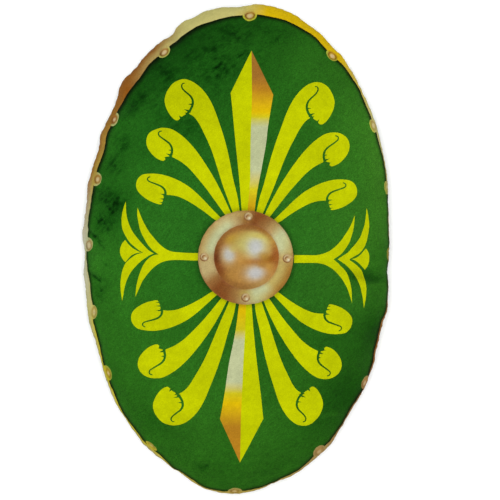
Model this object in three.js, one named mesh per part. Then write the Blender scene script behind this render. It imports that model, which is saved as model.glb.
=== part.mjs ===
// A stuffed plush cushion in the shape of an oval shield, lying on its back, face up.
// Millimetres. +X to the shield's right edge, +Y to its top, +Z up out of the face.
// The origin is under the middle of the outline, on the surface the cushion rests on.
import * as THREE from "three";

// Driving dimensions
const HEIGHT = 500; // top to bottom of the outline, seam to seam
const SEAM_Z = 40; // height of the sewn edge above the resting surface
const CROWN = 46; // rise of the face above the sewn edge
const FRONT_FULLNESS = [2.2, 0.62]; // how squarely the face is stuffed: exponents of its profile
const BACK_FULLNESS = [2.3, 0.6]; // the same for the curve between the resting patch and the edge
const PATCH = 0.5; // share of the outline that lies flat on the surface
const PUCKER_RISE = 1.1; // rise of the cloth over each bulge of the sewn edge
const PUCKER_REACH = 5; // how fast a pucker dies away towards the middle

// Sampling
const AROUND = 180; // points round the outline
const FACE_RINGS = 11;
const BACK_RINGS = 6;

// The outline in units of 1/491 of its height, as a radius about the middle of its area.
// It is an egg-like oval with cosine and sine terms for 0 to 6 waves round the edge.
const UNIT = HEIGHT / 491;
const OVAL = [
  [192.35, 0],
  [-0.39, 0.14],
  [-44.07, 2.22],
  [-1.51, 0.64],
  [6.14, -1.0],
  [0.14, -0.47],
  [-1.22, 0.24],
];

// Where the gathered seam lets the cover out or pulls it in: angle, half-width (degrees), size.
const BULGES = [
  [25, 3, 0.7],
  [52, 4, -0.7],
  [65, 1.5, -1.3],
  [80, 3, 2.0],
  [85, 1.5, 1.0],
  [90, 2, -2.6],
  [104, 1.5, 1.1],
  [108, 1.5, -3.3],
  [112, 1.5, -1.0],
  [125, 2, 4.5],
  [133, 2, -1.4],
  [146, 3, -1.8],
  [158, 2, 0.8],
  [175, 2, 1.8],
  [183, 2, -1.3],
  [215, 3, -1.4],
  [231, 4, 1.7],
  [253, 3, -3.0],
  [267, 4, 2.4],
  [279, 2, -1.8],
  [294, 1.5, 1.2],
  [305, 2.5, -1.5],
  [315, 3, 1.6],
  [328, 4, -1.2],
  [339, 3, 1.7],
  [350, 2, -1.5],
];

const ovalRadius = (angle) =>
  UNIT *
  OVAL.reduce(
    (sum, [c, s], k) => sum + c * Math.cos(k * angle) + s * Math.sin(k * angle),
    0,
  );

const bulge = (angle) =>
  UNIT *
  BULGES.reduce((sum, [at, width, size]) => {
    const away = THREE.MathUtils.euclideanModulo(
      THREE.MathUtils.radToDeg(angle) - at + 180,
      360,
    );
    return sum + size * Math.exp(-0.5 * ((away - 180) / width) ** 2);
  }, 0);

// Height of the face over the seam and of the back over the surface, with rho from 0 at the middle to 1 at the seam.
const faceHeight = (rho) =>
  SEAM_Z + CROWN * (1 - rho ** FRONT_FULLNESS[0]) ** FRONT_FULLNESS[1];

const backHeight = (rho) => {
  const t = Math.max(0, (rho - PATCH) / (1 - PATCH));
  return SEAM_Z * (1 - (1 - t ** BACK_FULLNESS[0]) ** BACK_FULLNESS[1]);
};

// A point of the cover. Puckers follow the seam and fade towards the middle.
function coverPoint(angle, rho, height, side) {
  const lump = bulge(angle);
  const r = rho * (ovalRadius(angle) + lump * rho ** PUCKER_REACH);
  const fade = rho ** PUCKER_REACH * (1 - rho ** 12) * side * PUCKER_RISE;
  return new THREE.Vector3(
    r * Math.cos(angle),
    r * Math.sin(angle),
    height(rho) + lump * fade,
  );
}

// Rings from near the middle to the seam, closer together where the cover turns down.
const faceRings = Array.from({ length: FACE_RINGS }, (_, i) =>
  Math.sin((((i + 1) / FACE_RINGS) * Math.PI) / 2),
);
const backRings = Array.from(
  { length: BACK_RINGS },
  (_, i) => PATCH + (1 - PATCH) * Math.sin(((i / BACK_RINGS) * Math.PI) / 2),
);

function cushionGeometry() {
  const points = [new THREE.Vector3(0, 0, faceHeight(0))];
  const index = [];
  const loops = [];
  const addLoop = (rho, height, side) => {
    loops.push(points.length);
    for (let i = 0; i < AROUND; i++)
      points.push(
        coverPoint((i / AROUND) * 2 * Math.PI, rho, height, side),
      );
  };
  faceRings.forEach((rho) => addLoop(rho, faceHeight, 1));
  [...backRings]
    .reverse()
    .forEach((rho) => addLoop(rho, backHeight, rho > PATCH ? -1 : 0));
  const last = points.push(new THREE.Vector3(0, 0, 0)) - 1;

  for (let i = 0; i < AROUND; i++) {
    const j = (i + 1) % AROUND;
    index.push(0, loops[0] + i, loops[0] + j);
    for (let k = 0; k + 1 < loops.length; k++) {
      const a = loops[k];
      const b = loops[k + 1];
      index.push(a + i, b + i, b + j, a + i, b + j, a + j);
    }
    const end = loops[loops.length - 1];
    index.push(end + i, last, end + j);
  }

  const geometry = new THREE.BufferGeometry().setFromPoints(points);
  geometry.setIndex(index);
  // The origin lies under the middle of the outline's box.
  geometry.computeBoundingBox();
  const { min, max } = geometry.boundingBox;
  geometry.translate(-(min.x + max.x) / 2, -(min.y + max.y) / 2, -min.z);
  geometry.computeVertexNormals();
  return geometry;
}

const cushion = new THREE.Mesh(
  cushionGeometry(),
  new THREE.MeshStandardMaterial({
    color: new THREE.Color("rgb(34, 102, 28)"),
    roughness: 0.95,
    metalness: 0,
  }),
);
cushion.name = "cushion";

const shield = new THREE.Group();
shield.add(cushion);

export default shield;
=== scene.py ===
"""A stuffed plush cushion shaped and printed as an oval shield, lying face up.

Metres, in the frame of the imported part: +X right, +Y to the shield's top, +Z out of the face.
The cover is cut as two flat panels, sewn round the edge, inflated by a cloth simulation and printed.
Print positions are given in units of 1/491 of the cushion's height, x to the right and y down.
"""

import math

import bpy
import numpy as np
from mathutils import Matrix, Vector
from mathutils.bvhtree import BVHTree
from mathutils.geometry import delaunay_2d_cdt
from mathutils.kdtree import KDTree


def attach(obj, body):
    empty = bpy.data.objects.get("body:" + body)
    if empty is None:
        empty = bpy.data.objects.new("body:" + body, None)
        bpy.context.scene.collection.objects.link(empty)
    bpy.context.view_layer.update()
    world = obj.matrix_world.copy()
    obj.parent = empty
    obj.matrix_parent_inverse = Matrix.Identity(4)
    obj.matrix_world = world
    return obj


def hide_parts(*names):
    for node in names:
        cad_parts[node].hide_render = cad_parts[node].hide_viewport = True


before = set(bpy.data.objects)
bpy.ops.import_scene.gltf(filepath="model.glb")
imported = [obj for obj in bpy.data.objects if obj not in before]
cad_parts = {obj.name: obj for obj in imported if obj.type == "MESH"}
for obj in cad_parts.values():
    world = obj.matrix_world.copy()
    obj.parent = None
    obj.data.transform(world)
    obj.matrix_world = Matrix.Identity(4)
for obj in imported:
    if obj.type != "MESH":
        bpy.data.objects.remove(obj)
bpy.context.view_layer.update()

# ---------------------------------------------------------------- sizes

UNIT = 0.500 / 491
SEAM_Z = 0.040
CROWN = 0.046
FACE_FULL = (2.2, 0.62)
BACK_FULL = (2.3, 0.6)
PATCH = 0.5
REACH = 5
RISE = 1.1

OVAL = [(192.35, 0), (-0.39, 0.14), (-44.07, 2.22), (-1.51, 0.64), (6.14, -1.0), (0.14, -0.47), (-1.22, 0.24)]
BULGES = [
    (25, 3, 0.7), (52, 4, -0.7), (65, 1.5, -1.3), (80, 3, 2.0), (85, 1.5, 1.0), (90, 2, -2.6), (104, 1.5, 1.1),
    (108, 1.5, -3.3), (112, 1.5, -1.0), (125, 2, 4.5), (133, 2, -1.4), (146, 3, -1.8), (158, 2, 0.8), (175, 2, 1.8),
    (183, 2, -1.3), (215, 3, -1.4), (231, 4, 1.7), (253, 3, -3.0), (267, 4, 2.4), (279, 2, -1.8), (294, 1.5, 1.2),
    (305, 2.5, -1.5), (315, 3, 1.6), (328, 4, -1.2), (339, 3, 1.7), (350, 2, -1.5),
]
MIDDLE = np.array([237.87, 246.76])  # middle of the outline's area, in print units
VIEW = np.array([250.0, 250.0])  # the point the camera looks straight down on
CAMERA_Z = 1.60
REACH_Z = CAMERA_Z - SEAM_Z

rng = np.random.default_rng(7)


# Last small corrections of the sewn outline: angle, half width in degrees, outward shift.
TRIM = [
    (0, 400, 0.01), (325, 30, 1.07), (158, 30, -0.84), (326, 3, 1.42), (141, 1.2, 1.86), (42, 11, 0.74), (273, 7, 0.69), (315, 1.2, -0.99),
    (253, 1.2, 1.23), (76, 1.2, 0.99), (262, 1.2, 1.05), (347, 2, 0.90), (196, 2, -0.63), (101, 1.2, -0.87), (11, 2, -0.63), (107, 1.2, -0.77),
    (320, 1.2, 0.89), (206, 2, 0.71), (256, 1.2, -0.69), (169, 1.2, 0.94), (158, 2, 0.78), (190, 1.2, 0.85), (178, 1.2, 0.76), (296, 1.2, 0.72),
    (244, 1.2, 0.73), (67, 4.5, 0.41), (2, 1.2, 0.62), (326, 4.5, -1.40), (351, 7, -0.64), (17, 2, -0.67), (48, 3, -0.52), (220, 1.2, -0.70),
    (288, 4.5, 0.46), (299, 1.2, -0.58), (61, 1.2, 0.63), (174, 1.2, 0.61), (258, 3, 0.40), (323, 1.2, -0.75), (340, 1.2, -0.61), (337, 1.2, 0.58),
    (98, 1.2, 0.52), (215, 1.2, 0.50), (273, 3, 0.30),
]


def humps(a, which):
    d = np.degrees(a)
    return UNIT * sum(h * np.exp(-0.5 * (((d - at + 180) % 360 - 180) / w) ** 2) for at, w, h in which)


def oval(a):
    return UNIT * sum(c * np.cos(k * a) + s * np.sin(k * a) for k, (c, s) in enumerate(OVAL))


def bulge(a):
    return humps(a, BULGES)


_a = np.linspace(0, 2 * math.pi, 181)[:-1]
_x, _y = (oval(_a) + bulge(_a)) * np.cos(_a), (oval(_a) + bulge(_a)) * np.sin(_a)
CENTRE = -np.array([(_x.min() + _x.max()) / 2, (_y.min() + _y.max()) / 2])
EYE = CENTRE + (VIEW - MIDDLE) * (UNIT, -UNIT)


def to_print(p):
    """Where a point of the cushion is in print units, seen from above."""
    k = REACH_Z / (CAMERA_Z - p[:, 2]) / UNIT
    return np.column_stack([VIEW[0] + (p[:, 0] - EYE[0]) * k, VIEW[1] - (p[:, 1] - EYE[1]) * k])


# ---------------------------------------------------------------- the cushion's designed shape

def face_z(rho):
    return SEAM_Z + CROWN * np.clip(1 - rho ** FACE_FULL[0], 0, 1) ** FACE_FULL[1]


def back_z(rho):
    t = np.clip((rho - PATCH) / (1 - PATCH), 0, 1)
    return SEAM_Z * (1 - np.clip(1 - t ** BACK_FULL[0], 0, 1) ** BACK_FULL[1])


NA, NT = 360, 400
TAU = np.linspace(0, 1, NT + 1)
RHO = np.sin(TAU * math.pi / 2)
ANG = np.arange(NA) / NA * 2 * math.pi


def meridians(height):
    """Tables over angle and share of the panel's length: radius and height. Also the length itself."""
    base, lump = oval(ANG)[:, None], bulge(ANG)[:, None]
    r = RHO * (base + lump * RHO**REACH)
    z = np.broadcast_to(height(RHO), r.shape)
    s = np.concatenate([np.zeros((NA, 1)), np.cumsum(np.hypot(np.diff(r), np.diff(z)), axis=1)], axis=1)
    length = s[:, -1]
    share = np.linspace(0, 1, NT + 1)
    rt = np.array([np.interp(share, s[i] / length[i], r[i]) for i in range(NA)])
    zt = np.array([np.interp(share, s[i] / length[i], z[i]) for i in range(NA)])
    tt = np.array([np.interp(TAU, TAU, s[i] / length[i]) for i in range(NA)])
    return rt, zt, tt, length


FACE, BACK = meridians(face_z), meridians(back_z)
_F = np.fft.rfft(FACE[3])
_F[9:] = 0
CUT = np.fft.irfft(_F, NA)  # radius of the flat panels at each angle


def lookup(table, a, t):
    """Bilinear look-up at angle a and share t."""
    ai = (a / (2 * math.pi) * NA) % NA
    i0 = np.floor(ai).astype(int) % NA
    fa = ai - np.floor(ai)
    i1 = (i0 + 1) % NA
    ti = np.clip(t, 0, 1) * NT
    j0 = np.minimum(ti.astype(int), NT - 1)
    ft = ti - j0
    return (
        table[i0, j0] * (1 - fa) * (1 - ft) + table[i1, j0] * fa * (1 - ft)
        + table[i0, j0 + 1] * (1 - fa) * ft + table[i1, j0 + 1] * fa * ft
    )


def cut_radius(a):
    return np.interp((a / (2 * math.pi) * NA) % NA, np.arange(NA + 1), np.r_[CUT, CUT[0]])


def designed(flat, tables, lumps=True):
    """The designed place of points of a flat panel, with or without the rise over each bulge of the seam."""
    a = np.arctan2(flat[:, 1], flat[:, 0])
    t = np.hypot(flat[:, 0], flat[:, 1]) / cut_radius(a)
    r, z = lookup(tables[0], a, t), lookup(tables[1], a, t)
    if lumps:
        rho = r / (oval(a) + bulge(a) * t**REACH)
        z = z + bulge(a) * RISE * rho**REACH * (1 - np.clip(rho, 0, 1) ** 12) * (1 if tables is FACE else -1)
    return np.column_stack([CENTRE[0] + r * np.cos(a), CENTRE[1] + r * np.sin(a), z])


def to_flat(p, limit=0.985):
    """Where a print point lies on the flat face panel."""
    p = np.asarray(p, float)
    z = np.full(len(p), 0.07)
    for _ in range(40):
        k = (CAMERA_Z - z) / REACH_Z * UNIT
        x = EYE[0] + (p[:, 0] - VIEW[0]) * k - CENTRE[0]
        y = EYE[1] - (p[:, 1] - VIEW[1]) * k - CENTRE[1]
        a, r = np.arctan2(y, x), np.hypot(x, y)
        rho = r / oval(a)
        for _ in range(4):
            rho = np.clip(r / (oval(a) + bulge(a) * np.clip(rho, 0, 1) ** REACH), 0, 1)
        z = 0.7 * z + 0.3 * face_z(rho)
    t = np.minimum(lookup(FACE[2], a, np.arcsin(rho) * 2 / math.pi), limit)
    s = t * cut_radius(a)
    return np.column_stack([s * np.cos(a), s * np.sin(a)])


# ---------------------------------------------------------------- meshing helpers

def edge_ring(step):
    a = np.linspace(0, 2 * math.pi, 4001)
    r = cut_radius(a)
    x, y = r * np.cos(a), r * np.sin(a)
    s = np.r_[0, np.cumsum(np.hypot(np.diff(x), np.diff(y)))]
    n = int(round(s[-1] / step))
    at = np.interp(np.arange(n) / n * s[-1], s, a)
    r = cut_radius(at)
    return np.column_stack([r * np.cos(at), r * np.sin(at)])


def beside(ring, by):
    """A row of points just inside the ring, each between two of the ring's points."""
    mid = (ring + np.roll(ring, -1, axis=0)) / 2
    return mid * (1 - by / np.hypot(mid[:, 0], mid[:, 1]))[:, None]


def lattice(step, keep, jitter=0.12):
    w, h = CUT.max() * 1.02, CUT.max() * 1.02
    rows = np.arange(-h, h, step * math.sqrt(3) / 2)
    cols = np.arange(-w, w, step)
    x, y = np.meshgrid(cols, rows)
    x = x + (np.arange(len(rows)) % 2)[:, None] * step / 2
    p = np.column_stack([x.ravel(), y.ravel()])
    p += (rng.random(p.shape) - 0.5) * 2 * jitter * step
    a = np.arctan2(p[:, 1], p[:, 0])
    return p[keep(p, cut_radius(a) - np.hypot(p[:, 0], p[:, 1]))]


def triangulate(ring, inner):
    v, _, f, _, _, _ = delaunay_2d_cdt([Vector(p) for p in np.vstack([ring, inner])], [], [list(range(len(ring)))], 1, 1e-7, False)
    return np.array([(p.x, p.y) for p in v]), np.array([t for t in f])


# ---------------------------------------------------------------- cloth simulation

def sewn_panels(step):
    ring = edge_ring(step)
    inner = np.vstack([beside(ring, 0.8 * step), lattice(step, lambda p, d: d > 1.35 * step)])
    flat, tris = triangulate(ring, inner)
    a = np.arctan2(flat[:, 1], flat[:, 0])
    on_edge = cut_radius(a) - np.hypot(flat[:, 0], flat[:, 1]) < 1e-4
    front = designed(flat, FACE)
    back = designed(flat, BACK)
    index = np.full(len(flat), -1)
    index[on_edge] = np.flatnonzero(on_edge)
    index[~on_edge] = len(flat) + np.arange((~on_edge).sum())
    both_flat = np.vstack([flat, flat[~on_edge]])
    start = np.vstack([front, back[~on_edge]])
    back_tris = index[tris][:, ::-1]
    return both_flat, start, tris, back_tris, on_edge, index


def simulate(flat, start, tris, step):
    """Lets the flat-cut cover settle over the stuffing, so that its spare edge length gathers into puckers."""
    mesh = bpy.data.meshes.new("cover_sim")
    mesh.from_pydata([tuple(v) for v in start], [], [tuple(t) for t in tris])
    ob = bpy.data.objects.new("cover_sim", mesh)
    bpy.context.scene.collection.objects.link(ob)
    ob.shape_key_add(name="Basis")
    rest = ob.shape_key_add(name="flat")
    co = np.column_stack([flat, np.zeros(len(flat))]).astype(np.float32)
    rest.data.foreach_set("co", co.ravel())
    rest.value = 0
    mod = ob.modifiers.new("Cloth", "CLOTH")
    s = mod.settings
    s.quality = 6
    s.mass = 0.15
    s.air_damping = 3
    s.tension_stiffness = 40
    s.compression_stiffness = 40
    s.shear_stiffness = 8
    s.bending_stiffness = 0.6
    s.tension_damping = 10
    s.compression_damping = 10
    s.shear_damping = 5
    s.bending_damping = 1
    s.use_pressure = True
    s.uniform_pressure_force = 1.5
    s.effector_weights.gravity = 0
    s.rest_shape_key = rest
    mod.collision_settings.use_collision = False
    mod.collision_settings.use_self_collision = False
    scene = bpy.context.scene
    frames = 24
    mod.point_cache.frame_start = 1
    mod.point_cache.frame_end = frames
    for f in range(1, frames + 1):
        scene.frame_set(f)
    deps = bpy.context.evaluated_depsgraph_get()
    done = ob.evaluated_get(deps).to_mesh()
    out = np.empty(len(done.vertices) * 3, np.float32)
    done.vertices.foreach_get("co", out)
    ob.evaluated_get(deps).to_mesh_clear()
    scene.frame_set(1)
    bpy.data.objects.remove(ob)
    bpy.data.meshes.remove(mesh)
    return out.reshape(-1, 3).astype(float)


def neighbours(n, tris):
    e = np.vstack([tris[:, [0, 1]], tris[:, [1, 2]], tris[:, [2, 0]]])
    e = np.unique(np.sort(e, axis=1), axis=0)
    return np.r_[e[:, 0], e[:, 1]], np.r_[e[:, 1], e[:, 0]], np.bincount(e.ravel(), minlength=n)


def smooth(values, links, rounds):
    i, j, deg = links
    v = values.copy()
    for _ in range(rounds):
        acc = np.column_stack([np.bincount(i, weights=v[j, c], minlength=len(v)) for c in range(v.shape[1])])
        v = 0.5 * v + 0.5 * acc / deg[:, None]
    return v


def finer(values, tris):
    """One round of Loop subdivision. The border stays a smooth curve of its own."""
    n = len(values)
    he = np.vstack([tris[:, [0, 1]], tris[:, [1, 2]], tris[:, [2, 0]]])
    opp = np.r_[tris[:, 2], tris[:, 0], tris[:, 1]]
    key = np.sort(he, axis=1)
    edges, inv, count = np.unique(key, axis=0, return_inverse=True, return_counts=True)
    inv = inv.ravel()
    far = np.column_stack([np.bincount(inv, weights=values[opp, c], minlength=len(edges)) for c in range(values.shape[1])])
    ends = values[edges[:, 0]] + values[edges[:, 1]]
    border = count == 1
    mid = np.where(border[:, None], ends / 2, ends * 3 / 8 + far / 8)
    deg = np.bincount(edges.ravel(), minlength=n)
    ring = np.zeros_like(values)
    for c in range(values.shape[1]):
        ring[:, c] = np.bincount(edges[:, 0], weights=values[edges[:, 1], c], minlength=n) + np.bincount(edges[:, 1], weights=values[edges[:, 0], c], minlength=n)
    beta = (5 / 8 - (3 / 8 + np.cos(2 * math.pi / deg) / 4) ** 2) / deg
    old = values * (1 - deg * beta)[:, None] + ring * beta[:, None]
    be = edges[border]
    bring = np.zeros_like(values)
    for c in range(values.shape[1]):
        bring[:, c] = np.bincount(be[:, 0], weights=values[be[:, 1], c], minlength=n) + np.bincount(be[:, 1], weights=values[be[:, 0], c], minlength=n)
    on = np.zeros(n, bool)
    on[be.ravel()] = True
    old[on] = values[on] * 0.75 + bring[on] / 8
    m = n + inv.reshape(3, -1).T
    a, b, c = tris.T
    ab, bc, ca = m.T
    new = np.vstack([np.column_stack(q) for q in ((a, ab, ca), (b, bc, ab), (c, ca, bc), (ab, bc, ca))])
    return np.vstack([old, mid]), new


STEP = 0.0052
flat, start, front_tris, back_tris, on_edge, index = sewn_panels(STEP)
all_tris = np.vstack([front_tris, back_tris])
links = neighbours(len(start), all_tris)
noise = rng.normal(size=(len(start), 3))
noise = smooth(noise, links, 3) * 0.0012
settled = simulate(flat, start + noise, all_tris, STEP)
print("settled", settled.min(0), settled.max(0), "start", start.min(0), start.max(0))

# The simulation gives the puckers and creases. The designed shape gives the outline and the fullness.
away = settled - start
broad = smooth(away, links, 60)
fine = away - broad
from_edge = np.maximum(cut_radius(np.arctan2(flat[:, 1], flat[:, 0])) - np.hypot(flat[:, 0], flat[:, 1]), 0)
out = start[:, :2] - CENTRE
out /= np.maximum(np.hypot(out[:, 0], out[:, 1]), 1e-9)[:, None]
radial = (fine[:, :2] * out).sum(1)
hold = 0.75 * np.exp(-((from_edge / 0.010) ** 2))
fine[:, :2] -= out * (radial * hold)[:, None]
fine[:, :2] *= 0.22
fine *= (0.22 + 0.95 * np.exp(-((from_edge / 0.045) ** 1.5)))[:, None]
print("puckers rms mm", float(np.sqrt((fine**2).sum(1).mean()) * 1e3), "max", float(np.abs(fine).max() * 1e3))
shape = start + fine

n_front = len(on_edge)
front_vals = np.column_stack([flat[:n_front], shape[:n_front]])
used = np.unique(back_tris)
renum = np.full(len(start), -1)
renum[used] = np.arange(len(used))
back_vals, back_t = np.column_stack([flat[used], shape[used]]), renum[back_tris]
front_t = front_tris
for _ in range(2):
    front_vals, front_t = finer(front_vals, front_t)
    back_vals, back_t = finer(back_vals, back_t)


def sampler(vals, tris):
    verts = [(v[0], v[1], 0.0) for v in vals]
    tree = BVHTree.FromPolygons(verts, [tuple(t) for t in tris.tolist()], all_triangles=True)

    def at(points):
        res = np.empty((len(points), 3))
        idx = np.empty(len(points), int)
        loc = np.empty((len(points), 2))
        for i, (x, y) in enumerate(points):
            p, _, k, _ = tree.find_nearest((x, y, 0.0))
            idx[i] = k
            loc[i] = p.x, p.y
        t = tris[idx]
        A, B, C = vals[t[:, 0], :2], vals[t[:, 1], :2], vals[t[:, 2], :2]
        v0, v1, v2 = B - A, C - A, loc - A
        d = v0[:, 0] * v1[:, 1] - v1[:, 0] * v0[:, 1]
        w1 = (v2[:, 0] * v1[:, 1] - v1[:, 0] * v2[:, 1]) / d
        w2 = (v0[:, 0] * v2[:, 1] - v2[:, 0] * v0[:, 1]) / d
        res = vals[t[:, 0], 2:] * (1 - w1 - w2)[:, None] + vals[t[:, 1], 2:] * w1[:, None] + vals[t[:, 2], 2:] * w2[:, None]
        return res

    return at


face_at, back_at = sampler(front_vals, front_t), sampler(back_vals, back_t)

# ---------------------------------------------------------------- the printed ornament, in print units

BOSS = np.array([245.7, 257.5])
DOME = np.array([246.4, 256.9])


def curve(pts, step=1.2):
    """Smooth curve through the points (centripetal Catmull-Rom)."""
    p = np.array(pts, float)
    p = np.vstack([2 * p[0] - p[1], p, 2 * p[-1] - p[-2]])
    out = []
    for a, b, c, d in zip(p[:-3], p[1:-2], p[2:-1], p[3:]):
        t1 = max(math.dist(a, b), 1e-6) ** 0.5
        t2 = t1 + max(math.dist(b, c), 1e-6) ** 0.5
        t3 = t2 + max(math.dist(c, d), 1e-6) ** 0.5
        n = max(2, math.ceil(math.dist(b, c) / step))
        t = np.linspace(t1, t2, n, endpoint=False)[:, None]
        a1 = (t1 - t) / t1 * a + t / t1 * b
        a2 = (t2 - t) / (t2 - t1) * b + (t - t1) / (t2 - t1) * c
        a3 = (t3 - t) / (t3 - t2) * c + (t - t2) / (t3 - t2) * d
        b1 = (t2 - t) / t2 * a1 + t / t2 * a2
        b2 = (t3 - t) / (t3 - t1) * a2 + (t - t1) / (t3 - t1) * a3
        out.append((t2 - t) / (t2 - t1) * b1 + (t - t1) / (t2 - t1) * b2)
    return np.vstack(out + [p[-2]])


def closed_curve(pts, step=1.5):
    p = np.array(pts, float)
    whole = curve(np.vstack([p[-2:], p, p[:2]]), step)
    i = np.argmin(np.hypot(*(whole - p[0]).T))
    j = i + 10 + np.argmin(np.hypot(*(whole[i + 10:] - p[0]).T))
    return whole[i:j]


def stroke(pts, widths, step=0.9):
    p, w, c = np.array(pts, float), np.array(widths, float), curve(pts, step)
    s = np.r_[0, np.cumsum(np.hypot(*np.diff(p, axis=0).T))]
    sc = np.r_[0, np.cumsum(np.hypot(*np.diff(c, axis=0).T))]
    wc = (np.maximum(np.interp(sc / sc[-1], s / s[-1], w), 0.62)[:, None] + 0.5) / 2
    t = np.gradient(c, axis=0)
    t /= np.hypot(*t.T)[:, None]
    n = np.column_stack([-t[:, 1], t[:, 0]])
    return np.vstack([c + n * wc, (c - n * wc)[::-1]])


def ellipse(centre, a, b, turn=0.0, n=44):
    t = np.arange(n) / n * 2 * math.pi
    x, y = a * np.cos(t), b * np.sin(t)
    c, s = math.cos(math.radians(turn)), math.sin(math.radians(turn))
    return np.column_stack([centre[0] + x * c - y * s, centre[1] + x * s + y * c])


def along(pts, step=1.5):
    """The straight line through the points, in short steps."""
    p = np.array(pts, float)
    s = np.r_[0, np.cumsum(np.hypot(*np.diff(p, axis=0).T))]
    at = np.unique(np.r_[s, np.linspace(0, s[-1], max(2, int(s[-1] / step)))])
    at = at[np.r_[True, np.diff(at) > 0.3]]
    return np.column_stack([np.interp(at, s, p[:, 0]), np.interp(at, s, p[:, 1])])


# Three arms of the upper left quarter: outline of head, neck and finger, the S-shaped line and the small cuts.
ARMS = [
    dict(
        head=[(180.3, 118.6), (177.7, 120.5), (174.8, 119.7), (170.8, 115.9), (166.8, 109.1), (164.7, 102.2), (165.0, 96.4), (168.5, 88.4), (174.8, 81.5), (182.8, 79.0), (192.0, 80.9), (201.2, 87.8), (208.1, 96.4), (213.8, 107.3), (219.0, 121.7), (224.2, 137.8), (228.8, 156.1), (233.3, 180.0), (237.4, 197.4), (239.3, 210.0), (240.3, 217.0)],
        neck=[(234.0, 219.0), (231.6, 212.1), (228.8, 204.3), (223.0, 188.2), (217.3, 169.8), (212.7, 154.9), (207.3, 141.1), (204.6, 135.5), (198.9, 124.0), (193.7, 117.1), (188.8, 113.6)],
        finger=[(185.1, 114.9), (181.7, 117.0), (179.3, 115.4)],
        line=[(185.0, 83.3), (183.0, 83.6), (182.0, 85.4), (182.4, 87.8), (184.5, 90.6), (188.2, 93.9), (191.1, 96.7), (192.8, 100.0), (193.1, 103.2), (192.2, 107), (190.2, 110.6), (187.9, 113.2), (186.8, 116)],
        widths=[0.4, 0.6, 0.9, 0.9, 1.0, 1.1, 1.4, 1.7, 1.9, 1.9, 2.0, 2.3, 2.8],
        cuts=[((192.2, 104.6), (187.9, 104.3), 1.1), ((190.4, 111.5), (183.9, 109.2), 2.3), ((187.2, 113.8), (184.7, 112.4), 1.8)],
    ),
    dict(
        head=[(165.6, 159.6), (163.3, 161.1), (158.7, 159.8), (154.1, 156.7), (149.5, 151.5), (146.7, 145.8), (146.4, 139.5), (149.0, 133.7), (154.1, 129.7), (161.0, 127.8), (170.2, 128.6), (177.1, 132.0), (185.1, 138.3), (193.2, 146.9), (200.1, 156.1), (206.9, 166.5), (214.2, 179.0), (220.7, 191.7), (226.5, 204.3), (229.9, 211.9), (232.5, 218.0)],
        neck=[(227.0, 219.0), (224.2, 215.2), (218.4, 207.2), (211.5, 197.4), (203.5, 186.5), (195.5, 176.7), (187.4, 167.6), (179.4, 161.2), (171.3, 156.8)],
        finger=[(169.1, 156.8), (166.8, 158.3), (165.2, 157.6)],
        line=[(161.7, 131.3), (159.8, 131.6), (158.4, 133.2), (158.8, 135.3), (161.2, 137.4), (165.6, 140.6), (169.4, 143.7), (171.5, 147.6), (171.6, 151.5), (170.4, 155.2), (170.2, 158.4)],
        widths=[0.4, 0.6, 0.8, 0.8, 0.9, 1.1, 1.4, 1.7, 1.8, 2.0, 2.8],
        cuts=[((171.0, 150.0), (167.9, 149.6), 1.0), ((170.4, 155.0), (165.8, 153.4), 2.0), ((168.6, 157.2), (163.6, 157.4), 1.5)],
    ),
    dict(
        head=[(161.9, 202.8), (161.0, 204.5), (151.8, 202.0), (145.0, 198.0), (139.8, 193.4), (136.9, 188.8), (136.3, 184.2), (138.1, 178.5), (142.7, 174.4), (149.5, 173.3), (158.7, 173.6), (169.1, 176.2), (179.4, 180.8), (188.6, 186.5), (197.8, 194.5), (208.1, 205.4), (216.1, 214.0), (220.5, 218.4), (224.0, 222.0)],
        neck=[(218.5, 223.5), (215.6, 220.9), (211.5, 218.1), (203.5, 211.7), (194.3, 205.2), (186.3, 200.3), (178.2, 196.6), (171.4, 195.1), (165.8, 194.9)],
        finger=[(163.8, 196.6), (162.9, 200.2)],
        line=[(150.2, 176.4), (148.3, 177.1), (147.4, 178.8), (148.4, 180.7), (151.2, 182.1), (156.4, 184.1), (161.6, 186.6), (164.5, 189.8), (165.3, 193.2), (164.6, 196.8)],
        widths=[0.4, 0.6, 0.8, 0.8, 0.9, 1.1, 1.4, 1.6, 1.9, 2.6],
        cuts=[((164.8, 194.8), (159.8, 193.9), 1.5), ((163.9, 199.3), (159.4, 198.8), 1.2), ((163.0, 203.0), (158.8, 202.4), 0.9)],
    ),
]

# How the upper left quarter is carried to the others: terms x^i*y^j up to the third order about the boss.
QUARTERS = [
    None,
    [[249.74, 253.42], [3.64, 80.37], [15.09, -10.89], [6.11, -2.03], [-77.36, -12.48], [-3.27, -16.36], [-6.03, -1.98], [30.28, -6.42], [9.94, -5.27], [7.02, -2.12]],
    [[239.54, 261.7], [-15.92, -76.12], [-29.09, 21.43], [-11.49, 7.59], [82.63, 9.63], [6.06, 8.91], [10.37, -1.55], [-31.62, -3.64], [-12.29, 4.93], [-7.59, -2.31]],
    [[253.71, 261.19], [18.78, -76.03], [21.68, 14.27], [7.48, 3.38], [-76.84, 6.38], [2.95, 15.76], [-0.69, 4.62], [33.65, -0.36], [9.11, 2.26], [12.11, 0.82]],
]
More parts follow.
